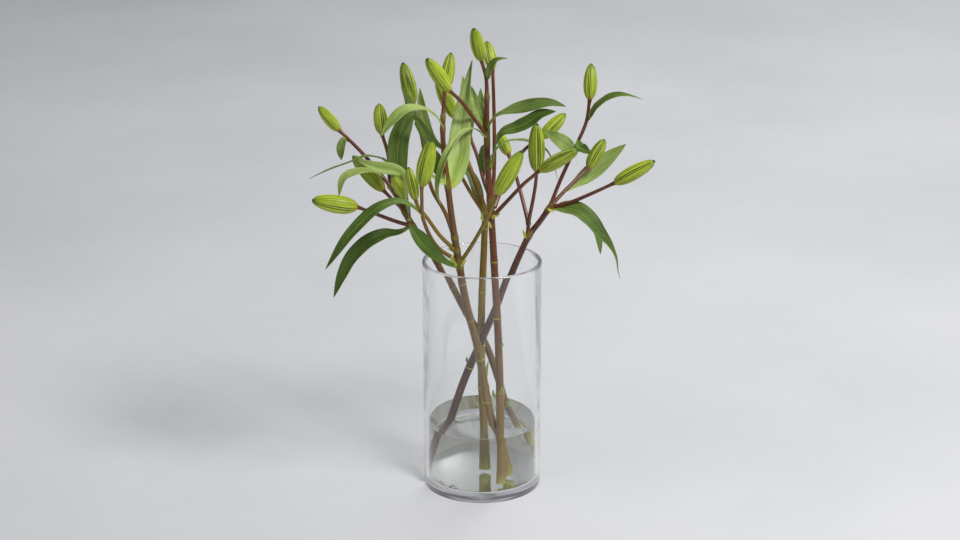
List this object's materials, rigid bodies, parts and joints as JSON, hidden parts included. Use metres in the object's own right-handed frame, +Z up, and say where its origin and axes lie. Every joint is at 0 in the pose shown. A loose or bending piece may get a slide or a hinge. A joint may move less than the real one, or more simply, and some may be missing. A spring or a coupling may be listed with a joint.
{
  "type": "lilies in a vase",
  "caption": "Cut lily stems in green bud with long dark leaves, standing loosely crossed in a clear glass cylinder vase with a little water.",
  "frame": {"origin": "middle of the vase's underside, on the surface that it stands on", "axes": "+Z up along the vase's axis; -Y is the front that the picture shows; +X is to the right seen from the front"},
  "size_m": [0.4273, 0.2545, 0.5998],
  "materials": {
    "glass": "clear polished glass with a grey-lilac tint in its thick base",
    "water": "clear water",
    "stem": "satin plant stem, brown-purple to olive",
    "bud": "satin waxy bud, yellow-green with raised ribs",
    "leaf": "waxy leaf, dark green above and paler below"
  },
  "bodies": {
    "root": {"vase": "glass", "water": "water", "stem_right": "stem", "bud_right_1": "bud", "bud_right_2": "bud", "bud_right_3": "bud", "bud_right_4": "bud", "bud_right_5": "bud", "leaf_right_1": "leaf", "leaf_right_2": "leaf", "leaf_right_3": "leaf", "leaf_right_4": "leaf", "leaf_right_5": "leaf", "leaf_right_6": "leaf", "stem_centre": "stem", "bud_centre_1": "bud", "bud_centre_2": "bud", "bud_centre_3": "bud", "bud_centre_4": "bud", "bud_centre_5": "bud", "leaf_centre_1": "leaf", "leaf_centre_2": "leaf", "leaf_centre_3": "leaf", "leaf_centre_4": "leaf", "leaf_centre_5": "leaf", "leaf_centre_6": "leaf", "leaf_centre_7": "leaf", "leaf_centre_8": "leaf", "leaf_centre_9": "leaf", "stem_left": "stem", "bud_left_1": "bud", "bud_left_2": "bud", "bud_left_3": "bud", "bud_left_4": "bud", "bud_left_5": "bud", "leaf_left_1": "leaf", "leaf_left_2": "leaf", "leaf_left_3": "leaf", "leaf_left_4": "leaf", "leaf_left_5": "leaf", "leaf_left_6": "leaf", "leaf_left_7": "leaf", "stem_back": "stem", "bud_back_1": "bud", "leaf_back_1": "leaf", "leaf_back_2": "leaf", "stem_crossing": "stem", "bud_crossing_1": "bud", "bud_crossing_2": "bud", "bud_crossing_3": "bud", "bud_crossing_4": "bud", "bud_crossing_5": "bud", "leaf_crossing_1": "leaf", "leaf_crossing_2": "leaf", "leaf_crossing_3": "leaf", "leaf_crossing_4": "leaf", "leaf_crossing_5": "leaf", "leaf_crossing_6": "leaf"}
  },
  "joints": []
}
